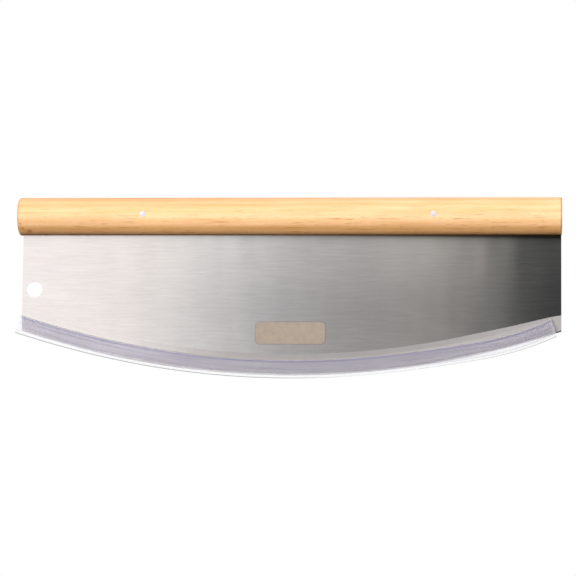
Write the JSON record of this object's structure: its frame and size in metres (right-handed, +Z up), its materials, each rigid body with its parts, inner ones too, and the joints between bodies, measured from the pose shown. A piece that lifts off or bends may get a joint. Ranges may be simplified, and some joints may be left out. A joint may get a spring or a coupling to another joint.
{
  "type": "rocking pizza knife",
  "caption": "Long rocking knife with a convex ground edge, a full-length round wooden handle and a clear slide-on edge guard, for slicing pizza.",
  "frame": {"origin": "middle of the round handle, on its axis", "axes": "+X along the knife towards the end without the hang hole, +Z up from the cutting edge to the handle, -Y out of the front face"},
  "size_m": [0.3569, 0.0252, 0.1185],
  "materials": {
    "handle_wood": "sanded light hardwood, thin clear oil",
    "blade_steel": "fine brushing along the length",
    "rivet_steel": "peened and polished",
    "guard_plastic": "clear extruded plastic"
  },
  "bodies": {
    "knife": {"handle": "handle_wood", "blade": "blade_steel", "rivet_left": "rivet_steel", "rivet_right": "rivet_steel"},
    "guard": {"edge_guard": "guard_plastic"}
  },
  "joints": [
    {"name": "guard_slide", "type": "slide", "parent": "knife", "child": "guard", "axis": [0, 0, -1], "range_m": [0, 0.045]}
  ]
}
